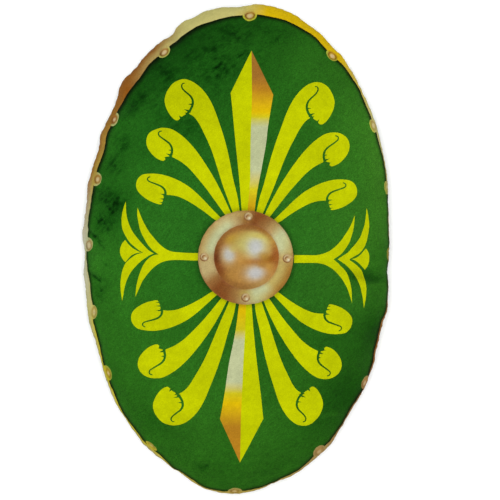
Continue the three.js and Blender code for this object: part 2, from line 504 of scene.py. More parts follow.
# A last small shift of each arm: its middle, shift, stretch over 30 units and how much fuller (+) or thinner (-).
SHIFTS = [
    ((208, 137), (-0.12, -0.69), ((-0.12, 0.16), (-0.70, -0.16)), -0.20), ((189, 165), (0.68, 0.40), ((0.61, 0.16), (0.12, 0.52)), -0.46),
    ((176, 194), (0.30, 0.10), ((0.37, -0.02), (0.23, -0.73)), 0.08), ((291, 141), (0.50, -1.15), ((-0.26, 0.03), (0.48, -0.49)), 0.10),
    ((307, 169), (0.06, 0.12), ((0.64, 0.48), (-0.14, 0.15)), -0.40), ((318, 199), (0.78, -0.31), ((-0.38, 0.42), (0.14, -0.83)), 0.12),
    ((200, 372), (-0.29, 0.98), ((-0.16, -0.03), (0.33, -0.34)), 0.04), ((183, 344), (0.17, -0.07), ((0.39, 0.22), (-0.01, 0.40)), -0.38),
    ((171, 313), (-0.61, 0.37), ((-0.57, -0.04), (0.21, -0.78)), 0.17), ((283, 371), (0.44, 1.23), ((-0.05, -0.03), (-0.50, -0.44)), 0.03),
    ((302, 344), (0.28, 0.32), ((0.38, -0.21), (-0.08, 0.18)), -0.34), ((315, 316), (0.56, 0.31), ((-0.33, -0.21), (-0.06, -0.80)), 0.16),
]


def shifted(p, shift):
    middle, move, stretch, _ = shift
    return p + np.array(move) + (p - np.array(middle, float)) / 30 @ np.array(stretch).T


def carry(p, quarter):
    if quarter is None:
        return p
    x, y = (p[:, 0] - 245.9) / 100, (p[:, 1] - 257.5) / 100
    return np.array([x**i * y**j for i in range(4) for j in range(4 - i)]).T @ np.array(quarter)


def inset(poly, by):
    t = np.roll(poly, -1, axis=0) - np.roll(poly, 1, axis=0)
    t /= np.maximum(np.hypot(*t.T), 1e-6)[:, None]
    n = np.column_stack([-t[:, 1], t[:, 0]])
    x, y = poly.T
    turn = np.sign((x * np.roll(y, -1) - np.roll(x, -1) * y).sum())
    return poly + n * by * turn


def wedge(base, tip, width):
    base, tip, width = np.array(base), np.array(tip), width + 0.7
    t = (tip - base) / math.dist(tip, base)
    n = np.array([-t[1], t[0]]) * width / 2
    base = base - t * 0.6
    return np.array([base + n, (base + tip) / 2 + n * 0.55, tip, (base + tip) / 2 - n * 0.55, base - n])


PALMETTES = [
    # left: the stem with the inner pair of leaves, then the outer pair, then the fan
    np.vstack([
        curve([(198, 260.7), (190, 260.4), (180, 260.0), (170, 260.2), (163, 261.8), (156.5, 265.2), (151, 270), (146, 276), (142, 282), (138.5, 290), (135.2, 296.8)]),
        curve([(136.5, 285), (138.5, 277), (141, 270), (144.5, 263), (149, 258), (153.6, 255.3), (158.5, 254.3)]),
        curve([(153, 250.5), (148.5, 245.5), (143.5, 237.5), (140, 229), (138.2, 221), (137.3, 214), (137.5, 207.6)]),
        curve([(140, 214), (143, 221), (148, 230), (154, 238), (160, 244.5), (166, 249), (172, 251.5), (180, 252.4), (190, 253), (198, 253)]),
    ]),
    np.vstack([
        curve([(154, 253.5), (150, 255), (146, 257.5), (140.5, 261.5), (135.5, 266.5), (131, 272), (127.5, 278.5), (125, 286), (123.5, 294), (122.2, 301)]),
        curve([(121, 293), (120.4, 286), (120.8, 279), (122, 272), (123.9, 266.5), (126.2, 262.4), (128.4, 260.2), (131.8, 257.4), (135.7, 254.9), (139.6, 253.5), (142.6, 252.8)]),
        curve([(142.6, 252.1), (139.6, 250.7), (135.7, 247.7), (131.2, 243.8), (127.9, 239.9), (125.9, 236.6), (123.6, 232), (122.3, 228), (121.5, 221), (122, 214.5), (123.5, 208), (125.7, 201.4)]),
        curve([(126.2, 212), (127.5, 219.5), (130, 226.5), (133.5, 233), (138, 239), (143, 244.5), (148.5, 250), (154, 253.5)])[:-1],
    ]),
    np.vstack([
        curve([(142.3, 252.4), (139.6, 251.8), (135.7, 249.9), (131.2, 246.8), (127.3, 242.7), (125.1, 239.9)]),
        curve([(121.8, 243.8), (120.1, 248.8), (120.1, 252.7), (121.8, 257.7), (124, 261), (125.4, 262.1)]),
        curve([(127.9, 259.1), (130.7, 256), (134, 254.1), (137.9, 252.9), (142.3, 252.4)])[:-1],
    ]),
    # right
    np.vstack([
        curve([(294, 255.1), (307, 255.1), (317.2, 255.1), (324, 253.4), (331.9, 249.4), (338.7, 243.2), (344.4, 235.8), (350.1, 226.7), (355, 215.2)]),
        curve([(354.1, 225.6), (352.6, 232.5), (350.9, 238), (348.8, 243.3), (345.9, 248), (342.4, 252.7), (340, 255.1), (333.6, 259.3)]),
        curve([(338.2, 263.2), (340, 265.4), (343.5, 268.6), (345.9, 271.5), (347.4, 273.9), (349.3, 280), (351.4, 289.1), (352.1, 303.2)]),
        curve([(350, 295.9), (346.6, 286.8), (340.9, 277.7), (334.2, 270.4), (326.3, 265.3), (317.2, 263), (305.9, 262.9), (294, 262.9)]),
    ]),
    np.vstack([
        curve([(337.6, 259.3), (340, 257.7), (343.5, 255.4), (347.6, 252.7), (351.8, 248), (355.9, 243.3), (359.7, 238), (362.4, 231.6), (365, 222.2), (366.8, 208.1)]),
        curve([(368.3, 215.4), (369.1, 223.3), (368.5, 232.4), (367.1, 239.5), (365.3, 245.4), (363.5, 248.6), (361.2, 251.5), (358.8, 253.9), (355.9, 255.6), (352.4, 257.7), (349.7, 259.2)]),
        curve([(350.3, 260.6), (353.3, 262.6), (356.7, 265.2), (359.6, 268), (361.8, 270.8), (363.2, 274.2), (364.4, 278), (365.6, 283), (366.3, 290), (365.5, 299), (363.9, 308.2)]),
        curve([(362.5, 297), (360.2, 286.8), (357.2, 279.5), (353.5, 273.3), (350.6, 269.8), (347.1, 266.2), (343.5, 263.3), (340, 260.9), (337.6, 259.3)])[:-1],
    ]),
    np.vstack([
        curve([(351.8, 259.3), (356.2, 257.8), (360.4, 254.9), (363.3, 251.3), (366, 248.4)]),
        curve([(367.6, 250.4), (369.1, 253.9), (369.4, 258), (368.8, 262.7), (367.1, 266.8), (364.7, 269.8)]),
        curve([(362.9, 267.4), (360.6, 264.9), (357.6, 262.1), (354.1, 260), (351.8, 259.3)])[:-1],
    ]),
]

UPPER_TIP, LOWER_TIP = (251.5, 50.5), (240.0, 462.6)
UPPER_MID = [(251.5, 50.5), (252.05, 95), (250.7, 140), (250.3, 180), (249.8, 184), (247.2, 216)]
LOWER_MID = [(240.0, 462.6), (240.9, 419), (243.2, 364), (245.2, 330), (246.2, 298)]
UPPER_LEFT = [(230.6, 93), (232.3, 109.1), (235.6, 143.5), (237.9, 166), (240.1, 190), (242.1, 216)]
UPPER_RIGHT = [(273.3, 94.7), (267.6, 129.7), (266.6, 140), (261.8, 167.6), (257.2, 191.7), (254.0, 216)]
LOWER_LEFT = [(220, 419.2), (224.2, 395.8), (228.8, 364.8), (235.6, 330.3), (239.7, 298)]
LOWER_RIGHT = [(263.4, 418.7), (260.7, 393.5), (256.6, 360), (253.2, 325.7), (251.2, 298)]

RIM_EDGE = [
    (229.9, 16.3), (220.6, 18.5), (209.1, 22.1), (197.4, 26.1), (188.0, 31.9), (178.9, 38.4), (169.5, 46.2), (157.6, 56.7), (150.7, 62.4),
    (144.9, 69.8), (139.4, 78.3), (133.8, 84.9), (127.8, 93.2), (122.5, 102.1), (117.2, 110.6), (110.3, 126.1), (107.8, 132.1), (106.2, 138.0),
    (104.9, 147.0), (101.6, 157.1), (97.4, 167.7), (93.3, 185.9), (90.5, 203.0), (88.1, 222.6), (87.1, 238.7), (85.9, 251.9), (86.4, 264.1),
    (89.1, 278.0), (90.7, 295.5), (92.6, 305.6), (93.2, 320.6), (97.7, 339.3), (100.9, 354.1), (103.5, 365.4), (112.3, 389.5), (123.9, 414.7),
    (133.8, 427.4), (145.1, 441.6), (165.3, 459.8), (174.9, 468.0), (189.7, 477.5), (203.5, 485.4), (220.7, 490.3), (255.0, 487.9), (283.0, 476.9),
    (293.4, 471.8), (300.7, 467.4), (306.8, 462.5), (313.4, 455.7), (325.6, 444.5), (332.4, 436.2), (337.4, 430.2), (342.1, 423.4), (346.2, 415.7),
    (349.5, 408.5), (354.1, 401.5), (358.4, 394.9), (364.0, 386.1), (369.4, 373.0), (372.7, 358.3), (375.4, 346.0), (378.3, 333.8), (381.0, 320.9),
    (383.4, 315.3), (385.0, 309.8), (387.2, 300.0), (387.1, 289.8), (387.0, 276.0), (388.5, 254.0), (388.5, 235.0), (388.2, 216.9), (388.1, 197.6),
    (386.1, 179.3), (383.6, 162.6), (379.6, 146.4), (375.9, 132.9), (371.2, 117.9), (367.1, 108.2), (362.5, 96.6), (357.5, 86.6), (350.7, 76.2),
    (343.7, 66.0), (337.3, 60.2), (326.9, 50.1), (315.8, 37.8), (306.6, 31.4), (295.1, 25.1), (285.9, 20.5), (271.0, 16.8), (257.2, 14.3),
    (248.0, 14.7), (240.0, 15.3),
]

# Studs on the rim: centre, half length and half depth, then the ring's centre and half sizes, and how clearly it shows.
STUDS = [
    ((249.8, 14.8), (7.2, 6.0), (249.9, 15.4), (4.3, 3.1), 1.0), ((332.2, 55.3), (7.1, 4.2), (332.3, 56.1), (4.3, 2.5), 1.0),
    ((372.8, 126.4), (6.9, 2.8), (373.1, 125.9), (4.3, 1.8), 0.6), ((386.5, 187.9), (6.7, 2.3), (386.5, 187.9), (4.0, 1.2), 0.15),
    ((388.6, 253.9), (6.9, 2.1), (388.6, 253.9), (4.0, 1.0), 0.1), ((365.0, 381.9), (6.8, 3.3), (364.3, 382.4), (4.0, 1.7), 0.6),
    ((319.1, 450.4), (7.2, 4.2), (319.0, 450.6), (4.0, 2.0), 0.42), ((234.9, 490.3), (7.2, 2.8), (234.5, 490.4), (3.5, 1.2), 0.6),
    ((151.5, 445.5), (7.2, 1.8), (151.5, 445.5), (3.6, 1.0), 0.35), ((107.4, 372.8), (7.8, 3.8), (108.3, 373.2), (3.8, 1.5), 0.7),
    ((93.3, 312.1), (7.0, 3.9), (94.0, 312.3), (4.8, 2.0), 0.6), ((87.5, 244.4), (7.0, 5.3), (88.8, 245.4), (4.2, 2.4), 0.8),
    ((95.9, 179.0), (7.0, 5.6), (97.7, 179.3), (3.8, 2.6), 0.9), ((113.7, 119.2), (7.2, 4.6), (114.4, 119.6), (3.6, 2.2), 0.9),
    ((163.9, 51.8), (7.0, 4.8), (164.3, 52.3), (4.2, 2.6), 1.0),
]
RIVETS = [(248.2, 216.7), (204.2, 257.1), (287.1, 258.5), (245.6, 297.5)]


def srgb(*rgb):
    c = np.array(rgb, float) / 255
    return np.where(c <= 0.04045, c / 12.92, ((c + 0.055) / 1.055) ** 2.4)


YELLOW = srgb(197.5, 206, 0)
GREEN = srgb(39.5, 101, 24)
SHADOW = srgb(10, 22, 6)


def ramp(x, stops):
    """Colours along a list of (place, (r, g, b)) stops."""
    at = np.array([s[0] for s in stops], float)
    col = np.array([srgb(*s[1]) for s in stops])
    return np.column_stack([np.interp(x, at, col[:, c]) for c in range(3)])


def ring_ramp(deg, stops):
    """The same round a circle, in degrees."""
    s = sorted((a % 360, c) for a, c in stops)
    s = [(s[-1][0] - 360, s[-1][1])] + s + [(s[0][0] + 360, s[0][1])]
    return ramp(np.mod(deg, 360), s)


def soft(x, lo, hi):
    t = np.clip((x - lo) / (hi - lo), 0, 1)
    return t * t * (3 - 2 * t)


# Brushed pile and painted light: marks where the pile lies another way, with painted shade in creases and dimples and
# painted highlights on folds: x, y, half widths, turn in degrees, and how much darker (+) or lighter (-).
NAP_AND_SHADE = [
    (205, 62, 62, 44, -20, 0.20), (233, 33, 13, 6, 15, 0.28), (220, 70, 10, 5, -25, 0.36), (212, 50, 20, 4, -20, 0.24),
    (165, 72, 9, 7, 40, 0.34), (137, 103, 13, 5, -52, 0.40), (123, 143, 5.5, 9, 10, 0.42), (115, 165, 6, 8, 10, 0.38),
    (190, 131, 18, 12, 20, 0.20), (116, 207, 8, 9, 0, 0.44), (104, 196, 12, 7, 15, 0.42), (104, 223, 9, 8, 20, 0.38),
    (100, 291, 6, 8, 10, 0.22), (101, 277, 7, 2.4, 25, 0.20), (96, 238, 8, 2.0, 35, 0.18), (352, 276, 4, 3, 40, 0.1),
    (375, 300, 8, 30, 0, 0.10),
    (203, 466, 4.5, 4, 0, 0.34), (272, 399, 6, 4.5, 0, 0.10), (268, 30, 22, 6, 10, 0.14), (255, 52, 22, 5, -30, 0.14),
    (262, 478, 60, 26, 0, 0.12), (160, 440, 40, 20, 30, 0.07), (240, 392, 8, 5, 0, 0.08), (178, 108, 40, 14, -45, 0.10),
    (310, 60, 28, 18, 30, -0.10), (352, 115, 20, 34, -20, -0.12), (377, 160, 9, 40, -8, -0.14), (128, 297, 9, 10, 0, -0.12),
    (140, 240, 40, 30, 0, -0.04), (300, 110, 30, 50, 0, -0.05), (330, 414, 13, 2.0, -4, -0.16), (105, 140, 5, 14, 10, -0.10),
    (175, 60, 20, 5, -38, -0.10), (160, 130, 12, 6, -40, -0.08), (96, 262, 5, 14, 0, -0.10),
]


# Broad painted light and shade over the green, also in the soft folds on the right, in the same form, as the logarithm
# of the brightness.
BROAD_LIGHT_AND_SHADE = [
    (161, -7, 48, 86, -135, -1.20), (374, 211, 62, 160, 18, 0.40), (341, 401, 18, 61, 50, -0.29), (244, 1, 46, 15, 35, -0.37),
    (115, 206, 14, 21, 4, -0.31), (191, 387, 160, 50, 51, 0.25), (203, 220, 81, 45, 195, 0.19), (349, 333, 48, 17, -15, -0.31),
    (375, 264, 79, 9, -41, -0.16), (155, 421, 13, 8, 32, -0.16),
    (68, 323, 48, 160, 17, 0.14), (340, 357, 116, 160, -14, -0.10), (111, 141, 160, 9, -41, 0.10), (289, 195, 13, 25, 38, 0.18),
    (226, 458, 30, 11, -84, -0.13), (164, 534, 160, 31, 46, 1.15), (375, 331, 9, 11, 0, -0.32), (360, 350, 13, 9, -20, -0.19),
    (344, 392, 22, 24, 10, -0.32),
]
# Soft shade in the hollows of the folds, on every colour of the print.
FOLDS = [(363, 275.5, 13, 5, 14, -0.50), (374, 279, 12, 3.4, 4, -0.24), (352, 274, 4.5, 3.6, 40, -0.22)]
# The green is a little warmer towards the right and the bottom: terms 1, x, y, xx, xy, yy for red and for blue.
WARMTH = ((-0.065, 0.144, 0.113, 0.083, -0.068, 0.087), (0.065, 0.01, -0.049, -0.212, 0.06, -0.231))
# Narrow streaks where the pile is parted, painted shade along creases and painted highlights along folds: from, to,
# half width, and how much darker (+) or lighter (-).
STREAKS_AND_CREASE_SHADING = [
    ((237, 58), (250, 50), 1.5, 0.34), ((212, 60), (225, 55), 1.5, 0.30), ((215, 68), (222, 65), 1.4, 0.28), ((225, 68), (245, 55), 1.7, -0.16),
    ((88, 230.5), (101, 241.5), 1.2, 0.6), ((90, 273), (101, 282), 1.2, 0.6), ((100, 217), (109, 232), 1.4, 0.34), ((106, 205), (116, 216), 1.6, 0.30), ((94, 216), (104, 228), 1.1, 0.3), ((97, 284), (103, 293), 1.3, 0.28), ((103, 262), (108, 266), 1.1, 0.3), ((96, 240), (104, 248), 1.0, 0.3), ((321, 418), (330, 414), 1.2, -0.3),
    ((330, 414), (340, 415), 1.2, -0.3), ((358, 268), (384, 262), 2.4, -0.14), ((362, 286), (384, 284), 1.8, -0.16),
    ((184, 58), (200, 47), 1.6, 0.16), ((196, 70), (208, 62), 1.6, 0.18), ((266, 44), (284, 36), 1.5, 0.14), ((150, 110), (158, 103), 1.8, 0.16),
]


def marks(p, which):
    shade = np.zeros(len(p))
    for x, y, a, b, turn, amount in which:
        c, s = math.cos(math.radians(turn)), math.sin(math.radians(turn))
        u, v = (p[:, 0] - x), (p[:, 1] - y)
        q = ((u * c + v * s) / a) ** 2 + ((-u * s + v * c) / b) ** 2
        shade += amount * np.exp(-0.7 * q)
    return shade


def ragged(p):
    """The marks of the brushed pile and their painted crease shade get uneven, tufted edges."""
    x, y = p.T
    dx = 1.5 * np.sin(0.62 * x + 0.35 * y + 1.1) + 1.1 * np.sin(-0.41 * x + 0.93 * y + 2.0) + 0.7 * np.sin(1.37 * x - 1.1 * y)
    dy = 1.5 * np.sin(0.48 * x - 0.57 * y + 0.4) + 1.1 * np.sin(0.97 * x + 0.36 * y + 4.0) + 0.7 * np.sin(1.21 * x + 1.33 * y + 1.7)
    return p + np.column_stack([dx, dy]) * 0.85


# Darkening from the brushed pile, with painted shade in creases and dimples and painted highlights on folds.
def nap_and_shade(p):
    shade = marks(ragged(p), NAP_AND_SHADE)
    for a, b, width, amount in STREAKS_AND_CREASE_SHADING:
        a, b = np.array(a, float), np.array(b, float)
        t = np.clip((p - a) @ (b - a) / ((b - a) @ (b - a)), 0, 1)
        d = np.hypot(*(p - a - t[:, None] * (b - a)).T)
        shade += amount * np.exp(-((d / (width * (1 - 0.4 * np.abs(2 * t - 1) ** 3))) ** 2)) * (1 - 0.6 * np.abs(2 * t - 1) ** 4)
    return shade


def rim_gap(p):
    """How far a print point lies inside the rim's edge."""
    a = np.arctan2(-(p[:, 1] - MIDDLE[1]), p[:, 0] - MIDDLE[0])
    r = np.hypot(p[:, 0] - MIDDLE[0], p[:, 1] - MIDDLE[1])
    return np.interp(a, RIM_A, RIM_R) - r, np.degrees(a)


_rim = closed_curve(RIM_EDGE, 1.4)
_ra = np.arctan2(-(_rim[:, 1] - MIDDLE[1]), _rim[:, 0] - MIDDLE[0])
_rr = np.hypot(_rim[:, 0] - MIDDLE[0], _rim[:, 1] - MIDDLE[1])
_o = np.argsort(_ra)
RIM_A = np.r_[_ra[_o][-1] - 2 * math.pi, _ra[_o], _ra[_o][0] + 2 * math.pi]
RIM_R = np.r_[_rr[_o][-1], _rr[_o], _rr[_o][0]]


RIM_LINE = [(90, (12, 24, 5)), (60, (12, 22, 4)), (30, (18, 18, 2)), (0, (22, 16, 2)), (-40, (20, 14, 2)), (-90, (22, 18, 3)), (-130, (14, 20, 4)), (180, (14, 24, 6)), (125, (9, 22, 5))]


def green_print(p):
    col = np.repeat(GREEN[None], len(p), 0)
    # painted light and shade of the broad areas and the folds, with the pile marks and their painted crease shade,
    # scale the green
    k = (1 - np.clip(nap_and_shade(p), -0.25, 0)) ** 1.25 * np.exp(-0.059 + marks(p, BROAD_LIGHT_AND_SHADE) + marks(p, FOLDS))
    x, y = (p[:, 0] - 238) / 150, (p[:, 1] - 250) / 240
    warm = np.exp(np.array(WARMTH) @ np.array([np.ones_like(x), x, y, x * x, x * y, y * y]))
    col = col * np.column_stack([k**1.55 * warm[0], k, k**1.3 * warm[1]])
    # the soft dark ring printed round the boss
    r = np.hypot(*(p - BOSS).T)
    halo = 0.55 * np.exp(-(np.clip(r - 47.4, 0, None) / 3.2) ** 1.5)
    col = col * (1 - halo[:, None]) + SHADOW * halo[:, None]
    # the shadow line along the rim
    gap, deg = rim_gap(p)
    width = ring_interp(deg, [(90, 2.9), (60, 2.7), (40, 2.2), (10, 1.5), (-14, 1.5), (-40, 2.1), (-90, 1.8), (-130, 2.2), (180, 2.1), (160, 3.0), (120, 4.3), (112, 4.9), (103, 4.9), (97, 4.2)])
    depth = ring_interp(deg, [(90, 1.0), (40, 1.0), (10, 0.8), (-14, 0.8), (-40, 1.0), (-90, 0.85), (-130, 1.0), (180, 0.85), (150, 1.0), (120, 1.0)])
    line = (depth * np.exp(-(np.clip(gap, 0, None) / width) ** 2.6))[:, None]
    return col * (1 - line) + ring_ramp(deg, RIM_LINE) * line


def ring_interp(deg, stops):
    s = sorted((a % 360, v) for a, v in stops)
    s = [(s[-1][0] - 360, s[-1][1])] + s + [(s[0][0] + 360, s[0][1])]
    return np.interp(np.mod(deg, 360), [a for a, _ in s], [v for _, v in s])


def yellow_print(p):
    col = np.repeat(YELLOW[None], len(p), 0)
    # painted shade of the folds and of the creases darkens the yellow, less than the green
    k = (1 - 0.45 * np.clip(nap_and_shade(p), -0.2, 0.5)) * np.exp(0.45 * marks(p, FOLDS))
    r = np.hypot(*(p - BOSS).T)
    halo = 0.5 * np.exp(-(np.clip(r - 47.4, 0, None) / 2.6) ** 1.5)
    col = col * k[:, None]
    return col * (1 - halo[:, None]) + srgb(110, 110, 5) * halo[:, None]


def blade_print(stops):
    def paint(p):
        col = ramp(p[:, 1], stops)
        r = np.hypot(*(p - BOSS).T)
        halo = 0.5 * np.exp(-(np.clip(r - 47.4, 0, None) / 2.6) ** 1.5)
        return col * (1 - halo[:, None]) + srgb(120, 80, 15) * halo[:, None]

    return paint


# The metals of the print: silver and ivory glints, brass, gold and copper, each a plain tone.
IVORY, SILVER, PALE_BRASS, STRAW, LEMON, GOLD, AMBER = (
    (214, 213, 184), (193, 199, 152), (204, 196, 120), (212, 204, 72), (208, 196, 28), (224, 188, 6), (213, 168, 18),
)
OCHRE, OLD_GOLD, SAND, TAWNY, RED_COPPER, DEEP_COPPER = (
    (188, 132, 32), (189, 166, 74), (186, 168, 112), (168, 134, 80), (164, 112, 44), (150, 88, 24),
)
UPPER_TONES = [
    (76, RED_COPPER), (89, OCHRE), (112, GOLD), (117, LEMON), (127, SILVER), (170, SILVER), (178, PALE_BRASS), (189, LEMON),
    (207, AMBER),
]
LOWER_TONES = [
    (312, GOLD), (330, LEMON), (336, PALE_BRASS), (341, SILVER), (382, SILVER), (387, PALE_BRASS), (393, LEMON), (403, GOLD),
    (427, OCHRE),
]

RIM_OUTER = [
    (89, PALE_BRASS), (83, GOLD), (62, GOLD), (41, SILVER), (20, SAND), (0, SAND), (-30, TAWNY), (-55, TAWNY),
    (-82, SAND), (-87, OLD_GOLD), (-107, SAND), (-157, PALE_BRASS), (-172, IVORY), (179, IVORY), (153, RED_COPPER), (113, DEEP_COPPER),
    (103, PALE_BRASS),
]
RIM_INNER = [
    (91, PALE_BRASS), (83, GOLD), (61, GOLD), (43, PALE_BRASS), (6, SAND), (-8, TAWNY), (-34, DEEP_COPPER), (-63, TAWNY),
    (-85, OLD_GOLD), (-95, OLD_GOLD), (-119, LEMON), (-148, LEMON), (-160, PALE_BRASS), (175, SILVER), (156, OLD_GOLD), (125, DEEP_COPPER),
    (105, PALE_BRASS),
]


def rim_print(p, out=0.0):
    """out is how far round the edge, in print units, beyond the widest line."""
    gap, deg = rim_gap(p)
    across = np.clip((-gap + out) / ring_interp(deg, [(90, 8), (125, 14), (160, 5), (180, 3), (-90, 3), (0, 3), (50, 4), (70, 8)]), 0, 1)
    wave = 0.5 + 0.5 * np.tanh((across - 0.45) * 4)
    col = ring_ramp(deg, RIM_INNER) * (1 - wave[:, None]) + ring_ramp(deg, RIM_OUTER) * wave[:, None]
    return col


PALE, TAN, MIDDLING, GOLDEN, BRONZE, COPPER, RUSSET = (
    (193, 198, 154), (186, 168, 122), (184, 160, 104), (192, 174, 106), (164, 124, 56), (152, 110, 64), (128, 75, 37),
)
FLANGE_OUTER = [
    (105, MIDDLING), (90, (176, 146, 82)), (82, COPPER), (76, RUSSET), (67, RUSSET), (57, COPPER), (47, (174, 150, 96)), (34, PALE), (20, (190, 190, 138)), (4, (180, 156, 98)),
    (-15, BRONZE), (-30, BRONZE), (-45, BRONZE), (-59, (176, 150, 80)), (-75, (188, 190, 136)), (-88, TAN), (-105, COPPER), (-118, RUSSET), (-134, RUSSET),
    (-146, COPPER), (-158, TAN), (-170, TAN), (180, MIDDLING), (160, MIDDLING), (138, MIDDLING), (122, TAN),
]
FLANGE_INNER = [
    (107, TAN), (92, (154, 112, 60)), (75, RUSSET), (60, COPPER), (45, (180, 154, 106)), (33, PALE), (14, PALE), (0, MIDDLING), (-15, GOLDEN),
    (-45, GOLDEN), (-58, PALE), (-76, PALE), (-90, (182, 162, 92)), (-104, (162, 124, 72)), (-117, (138, 90, 48)), (-134, RUSSET), (-147, COPPER), (-160, TAN),
    (180, TAN), (166, PALE), (118, PALE),
]


def purer(col):
    """Metal tones lose a little blue, the white glints keep theirs."""
    k = 1 - soft(col[:, 2], 0.22, 0.45)
    return col * np.column_stack([1 + 0.03 * k, np.ones_like(k), 1 - 0.13 * k])


def flange_print(p):
    d = p - BOSS
    deg, r = np.degrees(np.arctan2(-d[:, 1], d[:, 0])), np.hypot(*d.T)
    t = soft(r, 36, 46)[:, None]
    col = purer(ring_ramp(deg, FLANGE_INNER) * (1 - t) + ring_ramp(deg, FLANGE_OUTER) * t)
    rim = 0.5 * soft(r, 44.6, 47.6)[:, None]
    col = col * (1 - rim) + srgb(146, 96, 50) * rim
    rd = np.hypot(*(p - DOME).T)
    fold = 0.45 * np.exp(-((rd - 32.4) / 1.3) ** 2)[:, None]
    return col * (1 - fold) + srgb(150, 95, 60) * fold


# Soft strokes of the dome's reflection, laid one over the other: centre, half widths, turn, colour, strength.
DOME_STROKES = [
    ((246.7, 229.0), 22, 6.0, 0, (146, 98, 52), 0.95), ((246, 237), 22, 7.0, 0, (176, 138, 72), 0.95), ((230.5, 241.5), 8.5, 5.5, -25, (190, 152, 52), 0.9),
    ((242, 246), 9, 8, 0, (192, 180, 104), 0.8), ((241, 256.5), 14, 6.0, 0, (190, 144, 78), 0.7), ((271, 240), 6, 7, 35, (176, 136, 68), 0.8),
    ((276.0, 252.5), 4.8, 8.5, 0, (146, 84, 42), 1.0), ((234, 274), 12, 9.5, 20, (178, 132, 68), 0.85), ((244, 268), 9, 5, 0, (178, 134, 70), 0.8),
    ((217.0, 258), 5.8, 14, -6, (108, 54, 24), 1.0), ((220.5, 269), 6, 8, -20, (140, 84, 42), 0.85), ((221.5, 246.5), 5, 8, 12, (148, 98, 52), 0.8),
    ((236, 285.2), 12, 3.6, 12, (150, 104, 54), 0.9), ((252, 287.4), 12, 3.0, -4, (156, 114, 64), 0.8),
    ((258, 237.4), 11.5, 4.4, 6, (202, 190, 92), 0.9), ((254.6, 245.0), 13.2, 10.6, 0, (192, 191, 122), 0.92), ((228.6, 255.2), 7.6, 9.4, 0, (184, 158, 114), 0.9),
    ((256, 272.8), 11.5, 8.2, -8, (186, 162, 126), 0.9), ((269, 259.4), 12, 3.8, -12, (140, 80, 30), 1.0), ((256, 261.2), 11, 2.6, -4, (168, 112, 42), 0.85),
    ((268.8, 268), 7, 4.0, 30, (188, 140, 64), 0.8), ((271.5, 277), 5, 6, 35, (180, 138, 84), 0.7),
    ((255.6, 247.2), 7.8, 8.8, 0, (194, 195, 191), 1.0), ((228.7, 254.4), 4.9, 6.2, -10, (194, 191, 182), 1.0), ((255.4, 273.0), 7.6, 5.9, -10, (194, 192, 188), 1.0),
    ((264.0, 256.4), 5.4, 4.2, 20, (168, 130, 54), 0.75), ((261.5, 265.0), 4.6, 2.6, 10, (168, 122, 50), 0.7), ((259, 236.0), 8.5, 2.3, 4, (192, 176, 90), 0.75),
    ((233.0, 248.8), 3.6, 3.2, 0, (194, 182, 102), 0.6), ((229.4, 256.6), 4.2, 4.0, 0, (198, 196, 184), 0.6),
]


DOME_EDGE = [
    (90, (142, 94, 50)), (62, (140, 90, 42)), (49, (156, 112, 56)), (34, (174, 138, 70)), (8, (150, 90, 44)), (-10, (158, 98, 48)), (-30, (182, 134, 74)),
    (-60, (172, 140, 86)), (-90, (150, 110, 60)), (-120, (150, 104, 54)), (-150, (126, 72, 34)), (180, (108, 56, 28)), (155, (132, 86, 44)), (120, (148, 102, 56)),
]


def dome_print(p):
    col = np.repeat(srgb(180, 134, 66)[None], len(p), 0)
    for (x, y), a, b, turn, rgb, strength in DOME_STROKES:
        c, s = math.cos(math.radians(turn)), math.sin(math.radians(turn))
        u, v = (p[:, 0] - x), (p[:, 1] - y)
        q = np.sqrt(((u * c + v * s) / a) ** 2 + ((-u * s + v * c) / b) ** 2)
        w = strength * np.exp(-0.75 * q**2.6)[:, None]
        col = col * (1 - w) + srgb(*rgb) * w
    r = np.hypot(*(p - DOME).T)
    deg = np.degrees(np.arctan2(-(p[:, 1] - DOME[1]), p[:, 0] - DOME[0]))
    edge = 0.85 * soft(r, 25.0, 31.0)[:, None]
    return purer(col * (1 - edge) + ring_ramp(deg, DOME_EDGE) * edge)


def rivet_print(centre):
    def paint(p):
        x, y = (p[:, 0] - centre[0]) / 4.4, (p[:, 1] - centre[1]) / 4.4
        r, a = np.hypot(x, y), np.arctan2(y, x)
        col = np.repeat(srgb(190, 160, 108)[None], len(p), 0)
        for at, wide, start, spread, tone, strength in (
            (0.66, 0.16, 1.6, 9.0, (196, 170, 118), 0.6),
            (0.90, 0.19, 2.6, 1.6, (124, 72, 32), 1.0),
            (0.88, 0.19, 0.9, 1.0, (132, 82, 36), 0.95),
            (0.38, 0.19, -2.4, 1.5, (132, 78, 34), 1.0),
            (0.66, 0.15, -2.2, 1.1, (206, 190, 146), 0.7),
        ):
            turn = (a - start + math.pi) % (2 * math.pi) - math.pi
            w = (strength * np.exp(-(((r - at) / wide) ** 2) - (turn / spread) ** 4))[:, None]
            col = col * (1 - w) + srgb(*tone) * w
        spark = np.exp(-(((x - 0.28) ** 2 + (y - 0.34) ** 2) / 0.09))[:, None] * 0.95
        return col * (1 - spark) + srgb(228, 220, 186) * spark

    return paint


